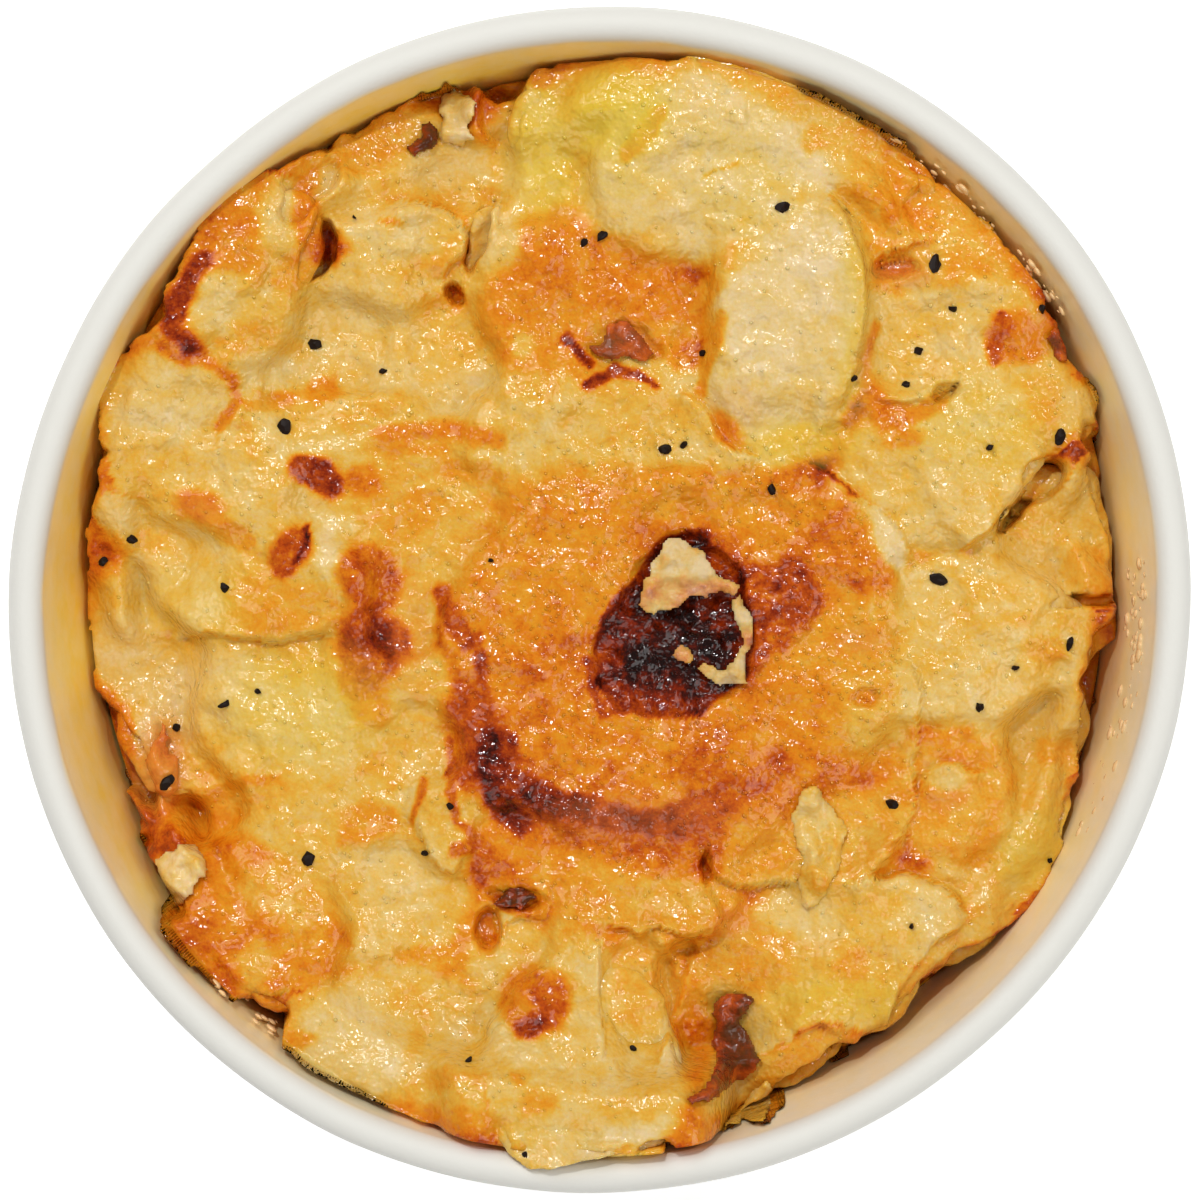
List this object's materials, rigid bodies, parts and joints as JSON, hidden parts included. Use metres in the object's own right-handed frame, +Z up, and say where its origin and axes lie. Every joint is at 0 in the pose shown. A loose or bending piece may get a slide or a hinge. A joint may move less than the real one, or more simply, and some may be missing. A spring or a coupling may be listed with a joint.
{
  "type": "potato gratin in a paper bowl",
  "caption": "Baked potato gratin with browned cheese, bacon bits and a burnt crust patch, filling a round white tapered paper bowl with a rolled rim.",
  "frame": {"origin": "on the table, under the middle of the bowl", "axes": "+Z up out of the bowl, +Y towards the top edge of the bowl as seen from above, +X to its right"},
  "size_m": [0.1148, 0.1152, 0.0638],
  "materials": {
    "potato": "soft baked potato under melted cheese, moist and slightly glossy",
    "crust": "browned cheese crust, grainy and oily",
    "bacon": "dark fried bacon, wrinkled and oily",
    "flake": "pale dry crust flake",
    "sauce": "baked cheese sauce and potato",
    "paper": "white coated paper, satin"
  },
  "bodies": {
    "root": {"bowl_wall": "paper", "bowl_base": "paper", "gratin_bed": "sauce", "slice_wall_northwest": "potato", "slice_back_northwest": "potato", "slice_back_northeast": "potato", "slice_back_east": "potato", "slice_low_east": "potato", "slice_wall_east": "potato", "slice_wall_southeast": "potato", "slice_under_south": "potato", "slice_low_west": "potato", "slice_sunk_west": "potato", "slice_under_west": "potato", "slice_hollow_south": "potato", "slice_small_northwest": "potato", "slice_lump_southeast": "potato", "slice_yellow_north": "potato", "slice_yellow_upper": "potato", "slice_northeast": "potato", "slice_upper_east": "potato", "slice_nub_east": "potato", "slice_southwest_bottom": "potato", "slice_southwest_pale": "potato", "slice_big_west": "potato", "slice_southwest_golden": "crust", "chunk_southwest": "potato", "slice_pepper_northwest": "potato", "slice_inner_northwest": "potato", "slice_half_northwest": "potato", "slice_frill_north": "potato", "slice_inner_west": "potato", "slice_edge_west": "potato", "slice_tip_west": "potato", "slice_large_west": "potato", "slice_long_northwest": "potato", "slice_pale_south": "potato", "slice_blister_south": "potato", "slice_point_east": "potato", "slice_smooth_east": "potato", "slice_toasted_north": "crust", "slice_back_centre": "potato", "bacon_south": "bacon", "slice_rim_south": "potato", "slice_pale_north": "potato", "slice_pale_east": "potato", "slice_lower_southeast": "potato", "slice_below_crust": "potato", "slice_inner_southwest": "potato", "crust_disc": "crust", "chunk_hanging_southeast": "potato", "chunk_northwest": "potato", "chunk_golden_south": "potato", "bacon_north": "bacon", "bacon_northwest": "bacon", "bacon_east": "bacon", "bacon_southwest": "bacon", "bacon_west": "bacon", "flake_large": "flake", "flake_strip": "flake"}
  },
  "joints": []
}
